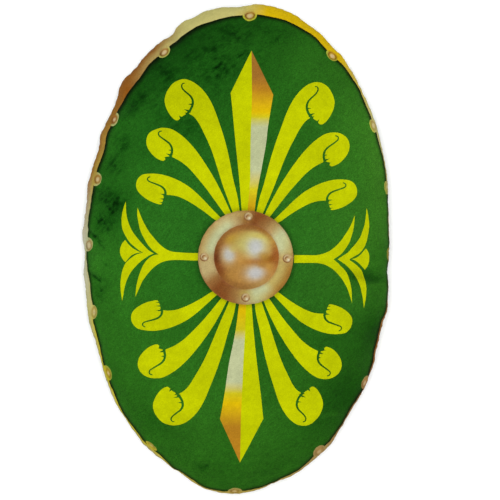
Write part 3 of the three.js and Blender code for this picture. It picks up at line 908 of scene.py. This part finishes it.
def stud_print(centre, size, ring_at, ring_size, clear):
    turn = stud_turn(centre)
    c, s = math.cos(math.radians(turn)), math.sin(math.radians(turn))
    deg = math.degrees(math.atan2(-(centre[1] - MIDDLE[1]), centre[0] - MIDDLE[0]))
    band = ring_ramp(np.array([deg]), [(90, (190, 195, 50)), (60, (190, 196, 70)), (30, (186, 186, 80)), (0, (140, 135, 50)), (-30, (160, 135, 75)), (-60, (168, 142, 88)), (-90, (165, 150, 80)), (-130, (160, 165, 40)), (180, (185, 190, 120)), (130, (185, 190, 120))])
    inner_side = np.sign((MIDDLE - centre) @ np.array([-s, c]))

    def paint(p):
        u, v = p[:, 0] - centre[0], p[:, 1] - centre[1]
        u, v = u * c + v * s, (-u * s + v * c) * inner_side
        r = np.hypot(u / size[0], v / size[1])
        col = rim_print(p)
        cap = 0.85 * clear * math.exp(-(((deg + 45) / 32) ** 4)) * soft(1.02 - r, 0, 0.1)[:, None]
        col = col * (1 - cap) + srgb(190, 160, 108) * cap
        line = soft(r, 1 - 2.6 / size[1], 1 - 0.9 / size[1]) * soft(v / size[1], -0.25, 0.25)
        col = col * (1 - line[:, None]) + band * line[:, None]
        x, y = p[:, 0] - ring_at[0], p[:, 1] - ring_at[1]
        x, y = (x * c + y * s) / ring_size[0], (-x * s + y * c) / ring_size[1]
        rr = np.hypot(x, y)
        across = (p[:, 0] - ring_at[0]) / ring_size[0]
        down = (p[:, 1] - ring_at[1]) / ring_size[1]
        mid = (0.95 * clear * np.exp(-(rr / 0.62) ** 4))[:, None]
        col = col * (1 - mid) + srgb(222, 200, 150) * mid
        pink = (0.5 * clear * np.exp(-((across - 0.1) / 0.3) ** 2 - ((down - 0.2) / 0.4) ** 2))[:, None]
        col = col * (1 - pink) + srgb(216, 172, 146) * pink
        tone = ramp(across, [(-1, (116, 60, 26)), (-0.2, (146, 90, 38)), (0.5, (160, 104, 40)), (1, (122, 80, 18))])
        tone = tone * (1 + 0.22 * np.clip(-down, -0.6, 1))[:, None]
        line = clear * np.exp(-np.abs((rr - 1) * 0.5 * (ring_size[0] + ring_size[1]) / 1.0) ** 2.2)
        line = (line * (0.82 + 0.18 * np.abs(np.clip(across, -1, 1))))[:, None]
        return col * (1 - line) + tone * line

    return paint


def stud_turn(centre):
    """Direction of the rim at a stud, in degrees of the print."""
    i = np.argmin(np.hypot(*(_rim - centre).T))
    t = _rim[(i + 3) % len(_rim)] - _rim[i - 3]
    return math.degrees(math.atan2(t[1], t[0]))


# Shapes of the print, each over the ones before it.
REGIONS = [(_rim, green_print)]
for at, size, ring_at, ring_size, clear in STUDS:
    at = np.array(at)
    REGIONS.append((ellipse(at, *size, stud_turn(at)), stud_print(at, size, ring_at, ring_size, clear)))
for i, q in enumerate(QUARTERS):
    for j, arm in enumerate(ARMS):
        shift = SHIFTS[3 * i + j]
        outline = np.vstack([curve(arm["head"]), curve(arm["neck"]), arm["finger"]])
        REGIONS.append((inset(shifted(carry(outline, q), shift), -shift[3]), yellow_print))
        REGIONS.append((shifted(carry(stroke(arm["line"], arm["widths"]), q), shift), green_print))
        for cut in arm["cuts"]:
            REGIONS.append((shifted(carry(wedge(*cut), q), shift), green_print))
for leaf in PALMETTES:
    REGIONS.append((leaf, yellow_print))
for tip, left, right, mid, left_paint, right_paint in (
    (UPPER_TIP, UPPER_LEFT, UPPER_RIGHT, UPPER_MID, yellow_print, blade_print(UPPER_TONES)),
    (LOWER_TIP, LOWER_LEFT, LOWER_RIGHT, LOWER_MID, blade_print(LOWER_TONES), yellow_print),
):
    for side, paint in ((left, left_paint), (right, right_paint)):
        point = along([tip, side[0]])
        REGIONS.append((np.vstack([point[:-1], curve(side, 1.5), along(mid)[:0:-1]]), paint))
REGIONS.append((ellipse(BOSS, 47.6, 47.0, n=200), flange_print))
REGIONS.append((ellipse(DOME, 32.4, 32.3, n=140), dome_print))
for at in RIVETS:
    REGIONS.append((ellipse(at, 4.5, 4.4, n=32), rivet_print(at)))


# ---------------------------------------------------------------- the fine cover mesh

def print_of(flat):
    """Print point of a point of the flat face panel: the inverse of to_flat."""
    return to_print(designed(flat, FACE, lumps=False))


def clean(poly, least):
    keep = [poly[0]]
    for p in poly[1:]:
        if math.dist(p, keep[-1]) > least:
            keep.append(p)
    while len(keep) > 3 and math.dist(keep[0], keep[-1]) <= least:
        keep.pop()
    return np.array(keep)


def holds(poly, pts):
    """Which points lie inside the polygon, by winding number."""
    lo, hi = poly.min(0), poly.max(0)
    near = np.flatnonzero(((pts >= lo) & (pts <= hi)).all(1))
    wind = np.zeros(len(near), int)
    x, y = pts[near].T
    for (ax, ay), (bx, by) in zip(poly, np.roll(poly, -1, axis=0)):
        if ay == by:
            continue
        if ay < by:
            rows = np.flatnonzero((y >= ay) & (y < by))
            wind[rows[(bx - ax) * (y[rows] - ay) - (x[rows] - ax) * (by - ay) > 0]] += 1
        else:
            rows = np.flatnonzero((y >= by) & (y < ay))
            wind[rows[(bx - ax) * (y[rows] - ay) - (x[rows] - ax) * (by - ay) < 0]] -= 1
    out = np.zeros(len(pts), bool)
    out[near[wind != 0]] = True
    return out


def panel(ring, inner, polys):
    """Triangles of a flat panel with the polygons cut into it, and the topmost polygon over each."""
    verts, edges = [ring, inner], []
    at = len(ring) + len(inner)
    for p in polys:
        verts.append(p)
        edges += [(at + i, at + (i + 1) % len(p)) for i in range(len(p))]
        at += len(p)
    coords = [Vector(v) for v in np.vstack(verts)]
    v, _, f, _, _, _ = delaunay_2d_cdt(coords, edges, [list(range(len(ring)))], 1, 1e-7, False)
    v = np.array([(p.x, p.y) for p in v])
    f = np.array([t for t in f])
    mid = v[f].mean(1)
    top = np.full(len(f), -1)
    for i, p in enumerate(polys):
        top[holds(p, mid)] = i
    return v, f, top


def away_from(points, others, gap):
    tree = KDTree(len(others))
    for i, (x, y) in enumerate(others):
        tree.insert((x, y, 0), i)
    tree.balance()
    return points[[tree.find((x, y, 0))[2] > gap for x, y in points]]


DYE = 0.70  # how much of the light the dyes give back, beside a white cloth
FINE, COARSE = 1.75e-3, 3.6e-3
ring = edge_ring(FINE)
polys = [clean(to_flat(poly), 2.0e-4) for poly, _ in REGIONS]
# extra rows of points where the printed shadows change quickly
rows = [to_flat(MIDDLE + (_rim - MIDDLE) * (1 - g / np.hypot(*(_rim - MIDDLE).T))[:, None]) for g in (0.8, 1.7, 2.8, 4.2)]
rows += [to_flat(ellipse(BOSS, r, r - 0.4, n=int(r * 3.6))) for r in (48.6, 49.9, 51.6)]
rows += [to_flat(ellipse(DOME, r, r, n=int(r * 3.6))) for r in (31.2, 33.6)]
rows += [to_flat(along(np.array([a, b]) + off, 1.1)) for a, b, _, _ in STREAKS_AND_CREASE_SHADING for off in ((0, 0), (0, 1.3), (0, -1.3))]
for at, (a, b), *_ in STUDS:
    turn = stud_turn(np.array(at))
    rows += [to_flat(ellipse(at, a * k, b * k, turn, n=max(6, int(2 * math.pi * a * k / 0.85)))) for k in (0.84,)]
for *_, at, (a, b), _ in STUDS:
    turn = stud_turn(np.array(at))
    rows += [to_flat(ellipse(at, a * k, b * k, turn, n=max(6, int(2 * math.pi * a * k / 0.75)))) for k in (0.2, 0.5, 0.76, 1.0, 1.24)]
rows += [to_flat(ellipse(at, r, r, n=int(6.283 * r / 0.75) + 3)) for at in RIVETS for r in (0.4, 1.1, 1.8, 2.5, 3.2, 3.9)]
rows += [to_flat(ellipse(DOME, r, r, n=int(6.283 * r / 1.2))) for r in np.arange(1.5, 31, 1.3)]
extra = away_from(np.vstack(rows), np.vstack(polys), 3.0e-4)
inner = lattice(FINE, lambda p, d: d > 1.35 * FINE)
inner = away_from(inner, np.vstack(polys + [extra]), 0.62 * FINE)
face_flat, face_tri, face_top = panel(ring, np.vstack([beside(ring, 0.7 * FINE), inner, extra]), polys)

_ba = np.arange(1200) / 1200 * 2 * math.pi
_bw = np.array([10e-3 + 2.5e-3 * math.cos(a + 0.9) + 0.5e-3 * math.sin(7 * a) for a in _ba])
_br = cut_radius(_ba) - _bw
band = np.column_stack([_br * np.cos(_ba), _br * np.sin(_ba)])
band_row = np.column_stack([(_br - 1.6e-3) * np.cos(_ba), (_br - 1.6e-3) * np.sin(_ba)])
inner = np.vstack([
    lattice(COARSE, lambda p, d: d > 0.026),
    lattice(2.3e-3, lambda p, d: (d > 1.35 * FINE) & (d <= 0.024)),
])
inner = away_from(inner, np.vstack([band, band_row]), 1.0e-3)
back_flat, back_tri, back_top = panel(ring, np.vstack([beside(ring, 0.7 * FINE), inner, band_row]), [band])

# One closed skin: the two panels share the points of the seam.
tree = KDTree(len(ring))
for i, (x, y) in enumerate(ring):
    tree.insert((x, y, 0), i)
tree.balance()


def seam_index(flat):
    hits = [tree.find((x, y, 0)) for x, y in flat]
    return np.array([h[1] if h[2] < 1e-6 else -1 for h in hits])


face_seam, back_seam = seam_index(face_flat), seam_index(back_flat)
at_seam = np.empty(len(ring), int)
at_seam[face_seam[face_seam >= 0]] = np.flatnonzero(face_seam >= 0)
back_index = np.where(back_seam >= 0, at_seam[back_seam], -1)
back_index[back_seam < 0] = len(face_flat) + np.arange((back_seam < 0).sum())
place = np.vstack([face_at(face_flat), back_at(back_flat[back_seam < 0])])
flat_all = np.vstack([face_flat, back_flat[back_seam < 0]])
tri = np.vstack([face_tri, back_index[back_tri][:, ::-1]])
n_face = len(face_flat)
# a thin triangle between three points of the seam closes against its twin on the other panel
_, twin, count = np.unique(np.sort(tri, axis=1), axis=0, return_inverse=True, return_counts=True)
single = count[twin.ravel()] == 1
face_tri, face_top = face_tri[single[: len(face_tri)]], face_top[single[: len(face_top)]]
back_tri, back_top = back_tri[single[-len(back_tri):]], back_top[single[-len(back_top):]]
tri = tri[single]


def normals(co, tri):
    n = np.cross(co[tri[:, 1]] - co[tri[:, 0]], co[tri[:, 2]] - co[tri[:, 0]])
    out = np.zeros_like(co)
    for k in range(3):
        for c in range(3):
            out[:, c] += np.bincount(tri[:, k], weights=n[:, c], minlength=len(co))
    return out / np.maximum(np.linalg.norm(out, axis=1), 1e-12)[:, None]


# The seam: the joint sinks between the two panels, with small gathers on both sides of it.
angle = np.arctan2(flat_all[:, 1], flat_all[:, 0])
inward = np.maximum(cut_radius(angle) - np.hypot(flat_all[:, 0], flat_all[:, 1]), 0)
outward = np.column_stack([np.cos(angle), np.sin(angle)])
place[:, :2] += outward * (0.0005 * np.exp(-((inward / 0.012) ** 2)) - 0.0013 * np.exp(-((inward / 0.0019) ** 2)))[:, None]
place[:, :2] += outward * (humps(angle, TRIM) * np.exp(-((inward / 0.013) ** 2)))[:, None]
phases = rng.random(6) * 2 * math.pi
gather = (
    0.6 * np.sin(157 * angle + 1.8 * np.sin(9 * angle + phases[0]) + phases[1])
    + 0.4 * np.sin(101 * angle + 2.4 * np.sin(5 * angle + phases[2]) + phases[3])
) * (0.65 + 0.35 * np.sin(13 * angle + phases[4]))
up = normals(place, tri)
place += up * (0.00034 * gather * np.exp(-inward / 0.0052))[:, None]

# Creases and dimples of the face: from, to, half width, depth in millimetres.
CREASES = [
    ((86, 229), (103, 243), 2.4, 1.5), ((88, 238), (99, 247), 2.0, 0.8), ((90, 273.5), (103, 281.5), 2.2, 1.3), ((93, 283), (101, 287), 2.2, 0.6),
    ((384, 281), (356, 273.5), 3.4, 2.1), ((383, 291), (364, 287), 3.2, -0.9), ((272, 399), (273, 399.5), 4.0, 0.9), ((205, 467), (202, 465), 3.6, 1.2),
    ((140, 424), (142, 423), 3.0, 0.6), ((318, 416.5), (342, 414.5), 2.6, -0.7), ((249, 8), (248.5, 24), 3.2, 1.1), ((170, 34), (188, 52), 3.6, 1.3),
    ((131, 70), (146, 84), 5.0, -0.8), ((101, 138), (116, 146), 4.0, 0.9), ((118, 88), (135, 98), 6.0, -1.0), ((86, 190), (101, 195), 4.5, 0.8),
    ((334, 52), (322, 66), 4.0, 1.0), ((372, 120), (358, 127), 4.5, 0.8), ((386, 232), (370, 234), 5.0, 0.6), ((97, 345), (112, 340), 4.5, 0.8),
    ((124, 418), (138, 406), 5.0, 0.8), ((168, 466), (178, 450), 4.5, 0.9), ((252, 492), (252, 474), 5.0, 0.9), ((306, 466), (298, 450), 5.0, 0.8),
    ((347, 420), (334, 410), 4.5, 0.8), ((372, 370), (358, 364), 5.0, 0.9),
]
seen = to_print(place[:n_face])
sink = np.zeros(n_face)
for a, b, width, depth in CREASES:
    a, b = np.array(a, float), np.array(b, float)
    t = np.clip((seen - a) @ (b - a) / ((b - a) @ (b - a)), 0, 1)
    d = np.hypot(*(seen - a - t[:, None] * (b - a)).T)
    wide = width * (1 - 0.35 * t)
    sink += depth * (1 - 0.75 * t**1.5) * (np.exp(-((d / wide) ** 2)) - 0.32 * np.exp(-(((d - 2.1 * wide) / wide) ** 2)))
place[:n_face] -= up[:n_face] * (0.4, 0.4, 1) * (sink * 1e-3)[:, None]

# The brushed pile leaves a fine uneven surface.
rough = rng.normal(size=(len(place), 1))
fine_links = neighbours(len(place), tri)
rough = smooth(rough, fine_links, 2)
rough *= 0.00011 / rough.std()
place += up * rough
place[:, 2] = np.maximum(place[:, 2], 0.0)

# ---------------------------------------------------------------- print colours and baking layout

seen = print_of(face_flat)
corner_rgb = np.zeros((len(tri), 3, 3))
# per corner: darkening of the pile marks with their painted shade in creases and dimples, for the shader
matted_and_shaded = np.zeros((len(tri), 3))
for i in range(-1, len(REGIONS)):
    pick = np.flatnonzero(face_top == i)
    if len(pick):
        paint = rim_print if i < 0 else REGIONS[i][1]
        corners = seen[face_tri[pick]].reshape(-1, 2)
        corner_rgb[pick] = paint(corners).reshape(-1, 3, 3)
        if paint is green_print:
            matted_and_shaded[pick] = np.clip(nap_and_shade(corners), 0, 0.60).reshape(-1, 3)

ba = np.arctan2(back_flat[:, 1], back_flat[:, 0])
bd = cut_radius(ba) - np.hypot(back_flat[:, 0], back_flat[:, 1])
edge_rgb = ring_ramp(np.degrees(ba), RIM_OUTER)
bw = np.interp(np.mod(ba, 2 * math.pi), np.r_[_ba, 2 * math.pi], np.r_[_bw, _bw[0]])
line = np.exp(-(np.clip(bd - bw, 0, None) / 1.9e-3) ** 1.6)[:, None]
ground_rgb = GREEN * (1 - line) + SHADOW * line
back_rgb = np.where(
    (back_top == 0)[:, None, None], ground_rgb[back_tri], edge_rgb[back_tri]
)
corner_rgb[len(face_tri):] = back_rgb[:, ::-1]

lo, hi = ring.min(0), ring.max(0)
scale = 0.98 / (hi - lo)[1]
uv = np.empty((len(tri), 3, 2))
uv[: len(face_tri)] = 0.01 + (face_flat[face_tri] - lo) * scale
left = 0.01 + (hi - lo)[0] * scale + 0.012
small = (0.99 - left) / (hi - lo)[0]
uv[len(face_tri):] = (np.array([left, 0.01]) + (back_flat[back_tri] - lo) * small)[:, ::-1]

used = np.unique(tri)
renum = np.full(len(place), -1)
renum[used] = np.arange(len(used))
place, tri = place[used], renum[tri]
mesh = bpy.data.meshes.new("cushion_cover")
mesh.vertices.add(len(place))
mesh.vertices.foreach_set("co", place.astype(np.float32).ravel())
mesh.loops.add(len(tri) * 3)
mesh.loops.foreach_set("vertex_index", tri.astype(np.int32).ravel())
mesh.polygons.add(len(tri))
mesh.polygons.foreach_set("loop_start", np.arange(0, len(tri) * 3, 3, dtype=np.int32))
mesh.update(calc_edges=True)
mesh.validate(verbose=False)
mesh.polygons.foreach_set("use_smooth", np.ones(len(mesh.polygons), bool))
rgba = np.ones((len(tri) * 3, 4), np.float32)
rgba[:, :3] = corner_rgb.reshape(-1, 3) * DYE
rgba[:, 3] = np.clip(1.25 - 1.3 * np.sqrt(corner_rgb.reshape(-1, 3)[:, 0]), 0.24, 1.0)  # the pile shows most on the dark ground
mesh.color_attributes.new("print", "FLOAT_COLOR", "CORNER").data.foreach_set("color", rgba.ravel())
mesh.attributes.new("nap_and_shade", "FLOAT", "CORNER").data.foreach_set("value", matted_and_shaded.astype(np.float32).ravel())
mesh.uv_layers.new(name="OFBake").data.foreach_set("uv", uv.astype(np.float32).ravel())
cover = bpy.data.objects.new("cushion_cover", mesh)
bpy.context.scene.collection.objects.link(cover)
print("cover", len(place), "points", len(tri), "triangles")

# ---------------------------------------------------------------- materials


def nodes_of(name):
    mat = bpy.data.materials.new(name)
    mat.use_nodes = True
    tree = mat.node_tree
    return mat, tree, tree.nodes["Principled BSDF"]


def noise(tree, where, scale, detail, roughness=0.55):
    n = tree.nodes.new("ShaderNodeTexNoise")
    n.inputs["Scale"].default_value = scale
    n.inputs["Detail"].default_value = detail
    n.inputs["Roughness"].default_value = roughness
    tree.links.new(where, n.inputs["Vector"])
    return n.outputs["Fac"]


def ranged(tree, value, lo, hi, to_lo, to_hi):
    n = tree.nodes.new("ShaderNodeMapRange")
    for socket, v in zip(("From Min", "From Max", "To Min", "To Max"), (lo, hi, to_lo, to_hi)):
        n.inputs[socket].default_value = v
    tree.links.new(value, n.inputs["Value"])
    return n.outputs["Result"]


def times(tree, a, b, op="MULTIPLY"):
    n = tree.nodes.new("ShaderNodeMath")
    n.operation = op
    tree.links.new(a, n.inputs[0])
    tree.links.new(b, n.inputs[1])
    return n.outputs[0]


plush, t, bsdf = nodes_of("plush")
coords = t.nodes.new("ShaderNodeTexCoord").outputs["Object"]
printed = t.nodes.new("ShaderNodeAttribute")
printed.attribute_name = "print"
brushed = ranged(t, noise(t, coords, 30, 3, 0.6), 0.3, 0.7, 0.90, 1.09)
clumps = ranged(t, noise(t, coords, 170, 3, 0.6), 0.3, 0.7, 0.945, 1.055)
pile = ranged(t, noise(t, coords, 1150, 2, 0.75), 0.3, 0.7, 0.52, 1.48)


def combed(tree, where, degrees, stretch):
    """The coordinates drawn out along one direction."""
    n = tree.nodes.new("ShaderNodeMapping")
    n.vector_type = "TEXTURE"
    n.inputs["Rotation"].default_value = (0, 0, math.radians(degrees))
    n.inputs["Scale"].default_value = (stretch, 1, 1)
    tree.links.new(where, n.inputs["Vector"])
    return n.outputs["Vector"]


strands = ranged(t, noise(t, combed(t, coords, 40, 4), 620, 2, 0.6), 0.3, 0.7, 0.88, 1.12)
tufts = times(t, pile, strands)
even = t.nodes.new("ShaderNodeMix")
even.inputs["A"].default_value = 1.0
t.links.new(printed.outputs["Alpha"], even.inputs["Factor"])
t.links.new(tufts, even.inputs["B"])
shade = times(t, times(t, brushed, clumps), even.outputs["Result"])
# dark patches where the pile is brushed the other way, and painted shade in creases and dimples, broken into tufts
nap_and_shade_node = t.nodes.new("ShaderNodeAttribute")
nap_and_shade_node.attribute_name = "nap_and_shade"
tuft = ranged(t, noise(t, combed(t, coords, 38, 1.8), 215, 3, 0.62), 0.36, 0.64, 0.28, 1.47)
lit = t.nodes.new("ShaderNodeMath")
lit.operation = "SUBTRACT"
lit.use_clamp = True
lit.inputs[0].default_value = 1.0
t.links.new(times(t, nap_and_shade_node.outputs["Fac"], tuft), lit.inputs[1])
deepened = t.nodes.new("ShaderNodeCombineXYZ")
for socket, power in zip("XYZ", (1.94, 1.25, 1.63)):
    n = t.nodes.new("ShaderNodeMath")
    n.operation = "POWER"
    n.inputs[1].default_value = power
    t.links.new(lit.outputs[0], n.inputs[0])
    t.links.new(n.outputs[0], deepened.inputs[socket])
brushed_and_shaded_print = t.nodes.new("ShaderNodeVectorMath")
brushed_and_shaded_print.operation = "MULTIPLY"
t.links.new(printed.outputs["Color"], brushed_and_shaded_print.inputs[0])
t.links.new(deepened.outputs[0], brushed_and_shaded_print.inputs[1])
tinted = t.nodes.new("ShaderNodeVectorMath")
tinted.operation = "SCALE"
t.links.new(brushed_and_shaded_print.outputs["Vector"], tinted.inputs[0])
t.links.new(shade, tinted.inputs["Scale"])
t.links.new(tinted.outputs["Vector"], bsdf.inputs["Base Color"])
t.links.new(ranged(t, noise(t, coords, 420, 2), 0.3, 0.7, 0.86, 0.98), bsdf.inputs["Roughness"])
bsdf.inputs["Specular IOR Level"].default_value = 0.02
bsdf.inputs["Sheen Weight"].default_value = 0.031
bsdf.inputs["Sheen Roughness"].default_value = 0.5
bsdf.inputs["Sheen Tint"].default_value = (0.85, 0.95, 0.75, 1)
bump = t.nodes.new("ShaderNodeBump")
bump.inputs["Strength"].default_value = 0.45
bump.inputs["Distance"].default_value = 0.0006
t.links.new(times(t, noise(t, coords, 1250, 3, 0.7), noise(t, coords, 300, 2), "ADD"), bump.inputs["Height"])
t.links.new(bump.outputs["Normal"], bsdf.inputs["Normal"])
mesh.materials.append(plush)

paper, t, bsdf = nodes_of("pale_floor")
coords = t.nodes.new("ShaderNodeTexCoord").outputs["Object"]
tone = ranged(t, noise(t, coords, 3, 2), 0.3, 0.7, 0.955, 0.97)
t.links.new(tone, bsdf.inputs["Base Color"])
bsdf.inputs["Roughness"].default_value = 0.95
bsdf.inputs["Specular IOR Level"].default_value = 0.1

# ---------------------------------------------------------------- floor, light, camera

floor_mesh = bpy.data.meshes.new("floor")
n = 12
xy = np.linspace(-3, 3, n + 1)
floor_mesh.from_pydata(
    [(x, y, 0.0) for y in xy for x in xy], [],
    [(j * (n + 1) + i, j * (n + 1) + i + 1, (j + 1) * (n + 1) + i + 1, (j + 1) * (n + 1) + i) for j in range(n) for i in range(n)],
)
floor_mesh.materials.append(paper)
floor = bpy.data.objects.new("floor", floor_mesh)
bpy.context.scene.collection.objects.link(floor)

world = bpy.data.worlds.new("studio")
bpy.context.scene.world = world
world.use_nodes = True
world.node_tree.nodes["Background"].inputs["Color"].default_value = (1.0, 1.0, 1.0, 1)
world.node_tree.nodes["Background"].inputs["Strength"].default_value = 0.334


def softbox(name, at, towards, size, power):
    light = bpy.data.lights.new(name, "AREA")
    light.shape = "SQUARE"
    light.size = size
    light.energy = power
    ob = bpy.data.objects.new(name, light)
    ob.location = at
    ob.rotation_euler = (Vector(towards) - Vector(at)).to_track_quat("-Z", "Y").to_euler()
    bpy.context.scene.collection.objects.link(ob)


softbox("overhead", (0, 0, 2.55), (0, 0, 0.05), 1.0, 60)
softbox("key", (-1.1, 0.9, 2.0), (0, 0, 0.05), 1.6, 5.6)
softbox("fill", (1.2, -0.8, 2.2), (0, 0, 0.05), 2.0, 6.4)

camera_data = bpy.data.cameras.new("camera")
camera_data.sensor_fit = "HORIZONTAL"
camera_data.sensor_width = 36
camera_data.lens = REACH_Z / UNIT / 500 * 36
camera = bpy.data.objects.new("camera", camera_data)
camera.location = (EYE[0], EYE[1], CAMERA_Z)
bpy.context.scene.collection.objects.link(camera)
bpy.context.scene.camera = camera
bpy.context.scene.view_settings.view_transform = "Standard"

# ---------------------------------------------------------------- hand over

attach(cover, "root")
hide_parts("cushion")
